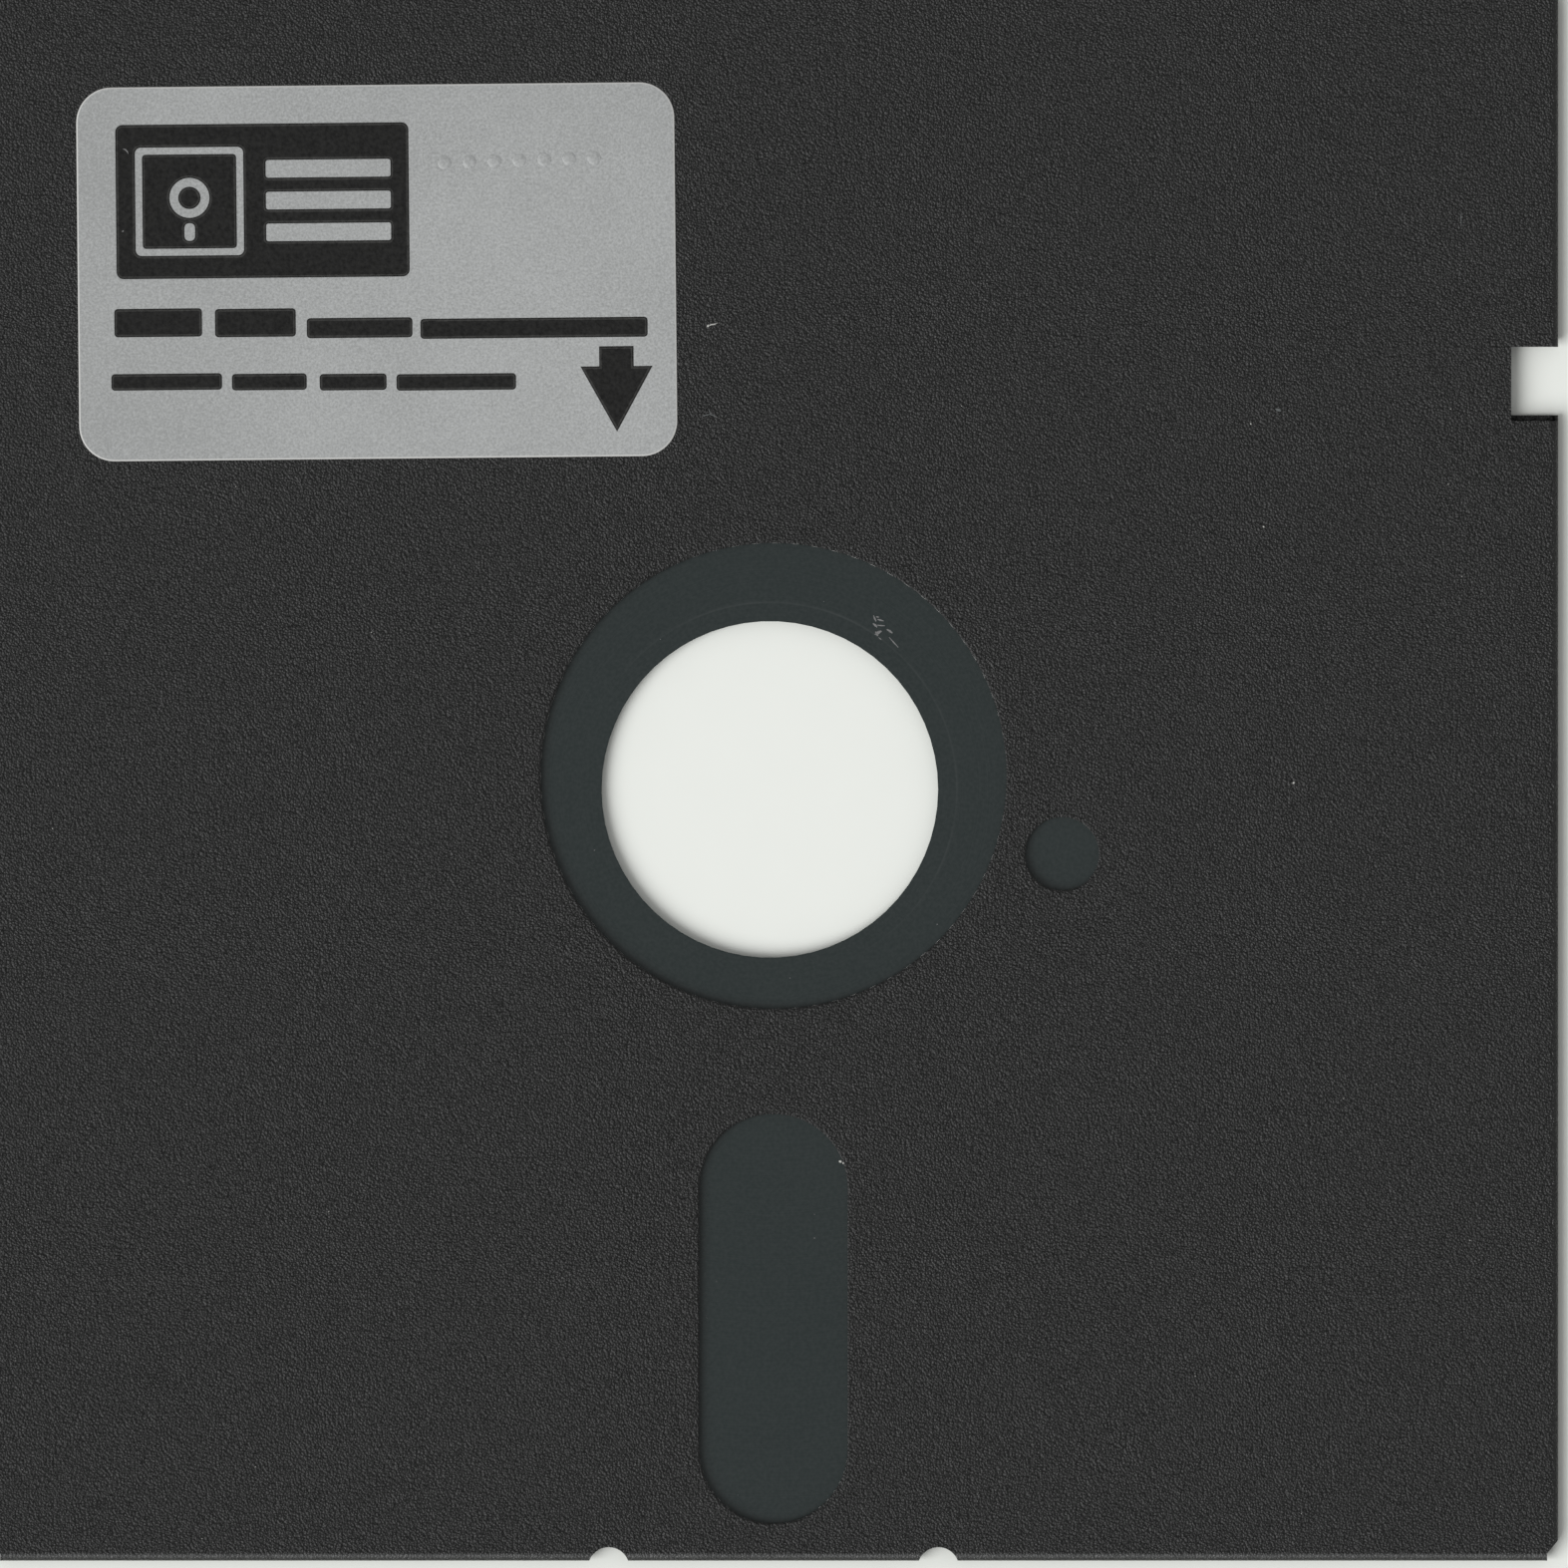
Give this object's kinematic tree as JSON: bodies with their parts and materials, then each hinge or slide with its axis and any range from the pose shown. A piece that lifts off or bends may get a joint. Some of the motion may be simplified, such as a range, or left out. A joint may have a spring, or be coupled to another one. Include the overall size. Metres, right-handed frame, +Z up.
{
  "type": "floppy disk",
  "caption": "Flexible magnetic disk in a square folded plastic jacket with hub, head and index windows, a write-enable notch, fabric liners and an adhesive front label.",
  "frame": {"origin": "on the plane that the disk lies on, under the centre of the jacket's hub window, which is the centre of the jacket", "axes": "+Z up, out of the labelled front; +Y away from the head window, towards the label's edge; +X towards the edge with the write-enable notch"},
  "size_m": [0.1334, 0.1334, 0.0017],
  "materials": {
    "jacket_pvc": "black PVC sheet with a fine pebbled emboss",
    "liner_fabric": "white non-woven wiping fabric",
    "disc_film": "smooth satin magnetic coating on polyester film",
    "label_stock": "silver-grey coated label with plain dark print"
  },
  "bodies": {
    "jacket": {"jacket": "jacket_pvc", "front_liner": "liner_fabric", "back_liner": "liner_fabric", "label": "label_stock"},
    "disc": {"magnetic_disc": "disc_film"}
  },
  "joints": [
    {"name": "disc_spin", "type": "hinge", "parent": "jacket", "child": "disc", "pos_m": [-0.00031, -0.00114, 0.00092], "axis": [0, 0, 1], "continuous": true}
  ]
}
